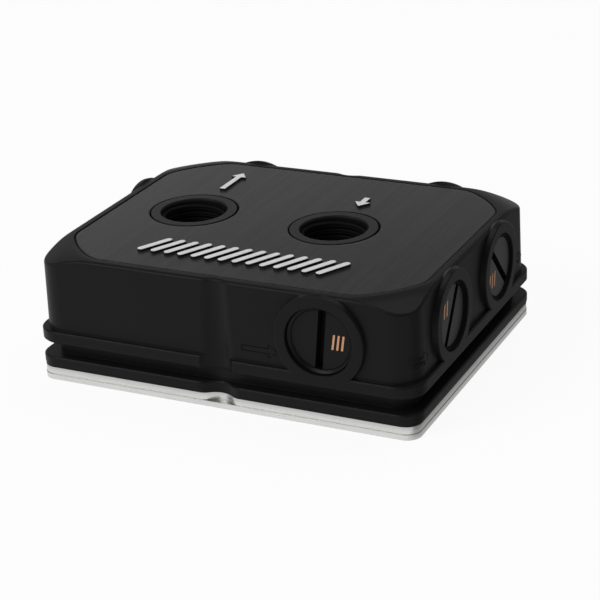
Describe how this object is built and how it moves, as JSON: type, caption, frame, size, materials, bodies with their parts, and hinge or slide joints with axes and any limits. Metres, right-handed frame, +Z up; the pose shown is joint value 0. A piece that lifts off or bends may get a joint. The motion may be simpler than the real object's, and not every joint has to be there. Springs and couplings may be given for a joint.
{
  "type": "liquid cooling cold plate",
  "caption": "Low rectangular cold plate: black moulded housing with threaded ports on top and plugged ports on its sides, on a bright metal base.",
  "frame": {"origin": "middle of the base plate's underside", "axes": "+X along the long front side, +Y to the back, +Z up, out of the two top ports"},
  "size_m": [0.0792, 0.0628, 0.0258],
  "materials": {
    "nickelled_copper": "satin nickel over copper",
    "steel_screws": "plain",
    "seal_rubber": "matt",
    "jet_plate_steel": "plain",
    "housing_black": "matt moulded",
    "cover_black_aluminium": "brushed and black anodised",
    "plug_black": "satin black"
  },
  "bodies": {
    "root": {"base_plate": "nickelled_copper", "base_screws": "steel_screws", "main_gasket": "seal_rubber", "jet_plate": "jet_plate_steel", "housing": "housing_black", "top_plate": "cover_black_aluminium", "plug_front": "plug_black", "plug_seal_front": "seal_rubber", "plug_right_front": "plug_black", "plug_seal_right_front": "seal_rubber", "plug_right_rear": "plug_black", "plug_seal_right_rear": "seal_rubber", "plug_back_right": "plug_black", "plug_seal_back_right": "seal_rubber", "plug_back_left": "plug_black", "plug_seal_back_left": "seal_rubber", "plug_left_rear": "plug_black", "plug_seal_left_rear": "seal_rubber"}
  },
  "joints": []
}
